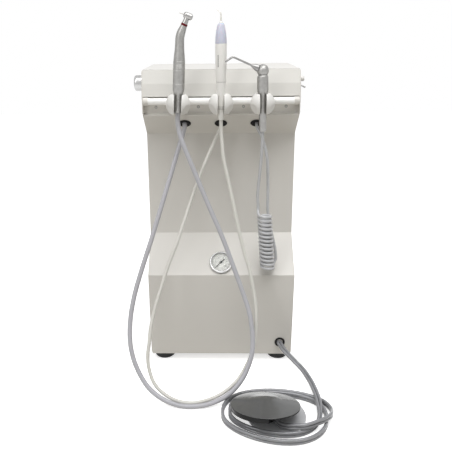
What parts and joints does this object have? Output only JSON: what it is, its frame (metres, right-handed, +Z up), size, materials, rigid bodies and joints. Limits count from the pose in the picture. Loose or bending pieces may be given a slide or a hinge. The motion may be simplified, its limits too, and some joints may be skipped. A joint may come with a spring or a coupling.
{
  "type": "portable dental unit",
  "caption": "Floor-standing dental cabinet with instruments in ball holders on a rail, their hoses, a pressure gauge, and a foot pedal on a coiled hose.",
  "frame": {"origin": "on the floor, midway between the four feet", "axes": "+Z up, the front of the cabinet faces -Y, +X to the right as seen from the front"},
  "size_m": [0.4281, 0.5473, 0.7802],
  "materials": {
    "casing": "satin powder coat, warm off-white",
    "top_paint": "satin powder coat, warm off-white",
    "holder_white": "glossy white",
    "rail_white": "glossy white enamel",
    "feet_rubber": "black rubber",
    "screw_steel": "zinc-plated steel",
    "gland_black": "black rubber",
    "gauge_steel": "chromed steel",
    "dial_white": "matt white with black scale",
    "needle_black": "matt black",
    "gauge_glass": "clear",
    "knob_chrome": "polished chrome",
    "knob_white": "glossy white",
    "lever_steel": "satin nickel",
    "valve_grey": "grey anodised",
    "steel_satin": "satin steel",
    "steel_head": "polished steel",
    "ring_red": "dark red enamel",
    "bur_steel": "gold-toned steel",
    "sleeve_white": "satin warm white",
    "cone_lilac": "satin lilac grey",
    "hose_blue": "satin blue-grey silicone",
    "hose_white": "satin warm white silicone",
    "hose_curly": "glossy grey polyurethane",
    "hose_foot": "glossy grey polyurethane",
    "pedal_grey": "grey, with a rubber underside",
    "disc_steel": "polished stainless steel",
    "spring_steel": "spring steel",
    "plastic_dark": "matt black",
    "inner_metal": "bare casting",
    "tank_paint": "light grey paint",
    "bottle": "translucent blue-white",
    "board_green": "green laminate"
  },
  "bodies": {
    "cabinet": {"base_tray": "casing", "rubber_feet": "feet_rubber", "foot_screws": "screw_steel", "front_shell": "casing", "left_side_panel": "casing", "right_side_panel": "casing", "head_panel": "top_paint", "top_cover": "top_paint", "rear_cover": "casing", "casing_screws": "screw_steel", "inner_shelves": "inner_metal", "holder_rail": "rail_white", "rail_brackets": "casing", "handpiece_holder": "holder_white", "scaler_holder": "holder_white", "syringe_holder": "holder_white", "hose_grommets": "gland_black", "foot_hose_grommet": "gland_black", "gauge_case": "gauge_steel", "gauge_dial": "dial_white", "gauge_glass": "gauge_glass", "valve_bodies": "valve_grey", "handpiece_hose": "hose_blue", "scaler_hose": "hose_white", "syringe_hose": "hose_curly", "syringe_coil": "hose_curly", "foot_hose": "hose_foot", "foot_coil": "hose_foot", "pedal_base": "pedal_grey", "pedal_pin": "screw_steel", "pedal_spring": "spring_steel", "pedal_valve": "plastic_dark", "compressor": "inner_metal", "compressor_mounts": "feet_rubber", "air_tank": "tank_paint", "water_bottle": "bottle", "control_block": "inner_metal", "scaler_board": "board_green", "power_inlet": "plastic_dark"},
    "handpiece": {"handpiece_coupling": "steel_satin", "handpiece_motor": "steel_satin", "handpiece_body": "steel_satin", "handpiece_ring": "ring_red", "handpiece_head": "steel_head"},
    "chuck_button": {"chuck_button": "steel_head"},
    "bur": {"bur": "bur_steel"},
    "scaler": {"scaler_tail": "steel_satin", "scaler_sleeve": "sleeve_white", "scaler_cone": "cone_lilac", "scaler_tip": "steel_head"},
    "syringe": {"syringe_body": "steel_satin"},
    "nozzle": {"syringe_nozzle": "steel_satin"},
    "air_button": {"air_button": "steel_head"},
    "water_button": {"water_button": "steel_head"},
    "needle": {"gauge_needle": "needle_black"},
    "regulator_knob": {"regulator_knob": "knob_chrome"},
    "water_knob": {"water_knob": "knob_white"},
    "toggle_lever": {"toggle_lever": "lever_steel"},
    "pedal": {"pedal_disc": "disc_steel"},
    "rocker": {"power_switch": "plastic_dark"}
  },
  "joints": [
    {"name": "handpiece_lift", "type": "slide", "parent": "cabinet", "child": "handpiece", "axis": [0.0523, 0, 0.9986], "range_m": [0, 0.06]},
    {"name": "scaler_lift", "type": "slide", "parent": "cabinet", "child": "scaler", "axis": [0, 0, 1], "range_m": [0, 0.06]},
    {"name": "syringe_lift", "type": "slide", "parent": "cabinet", "child": "syringe", "axis": [-0.0209, 0, 0.9998], "range_m": [0, 0.06]},
    {"name": "bur_spin", "type": "hinge", "parent": "handpiece", "child": "bur", "pos_m": [-0.06404, -0.122, 0.769], "axis": [-0.9397, 0, 0.342], "continuous": true},
    {"name": "chuck_press", "type": "slide", "parent": "handpiece", "child": "chuck_button", "axis": [-0.9397, 0, 0.342], "range_m": [0, 0.0008], "stiffness_N_per_m": 2000, "springref_m": -0.0006},
    {"name": "nozzle_swivel", "type": "hinge", "parent": "syringe", "child": "nozzle", "pos_m": [0.08295, -0.122, 0.66649], "axis": [-0.8952, -0.1884, 0.404], "range_deg": [-8, 120]},
    {"name": "air_press", "type": "slide", "parent": "syringe", "child": "air_button", "axis": [-0.4225, -0.9063, -0.0089], "range_m": [0, 0.0025], "stiffness_N_per_m": 600, "springref_m": -0.002},
    {"name": "water_press", "type": "slide", "parent": "syringe", "child": "water_button", "axis": [-0.4225, -0.9063, -0.0089], "range_m": [0, 0.0025], "stiffness_N_per_m": 600, "springref_m": -0.002},
    {"name": "needle_turn", "type": "hinge", "parent": "cabinet", "child": "needle", "pos_m": [0, -0.10727, 0.24471], "axis": [0, 0.6575, -0.7534], "range_deg": [0, 270], "stiffness_Nm_per_rad": 0.0002, "springref_deg": -17.19},
    {"name": "regulator_turn", "type": "hinge", "parent": "cabinet", "child": "regulator_knob", "pos_m": [-0.1656, -0.05, 0.638], "axis": [-1, 0, 0], "range_deg": [-360, 360]},
    {"name": "water_turn", "type": "hinge", "parent": "cabinet", "child": "water_knob", "pos_m": [0.1656, -0.05, 0.6444], "axis": [1, 0, 0], "range_deg": [0, 270]},
    {"name": "toggle_flip", "type": "hinge", "parent": "cabinet", "child": "toggle_lever", "pos_m": [0.165, -0.056, 0.6334], "axis": [0, -1, 0], "range_deg": [0, 50]},
    {"name": "pedal_press", "type": "hinge", "parent": "cabinet", "child": "pedal", "pos_m": [0.0875, -0.2795, 0.0125], "axis": [1, 0, 0], "range_deg": [0, 8], "stiffness_Nm_per_rad": 6, "springref_deg": -6.88, "deforming": ["pedal_spring"]},
    {"name": "rocker_flip", "type": "hinge", "parent": "cabinet", "child": "rocker", "pos_m": [-0.057, 0.127, 0.065], "axis": [0, 0, 1], "range_deg": [0, 18]}
  ]
}
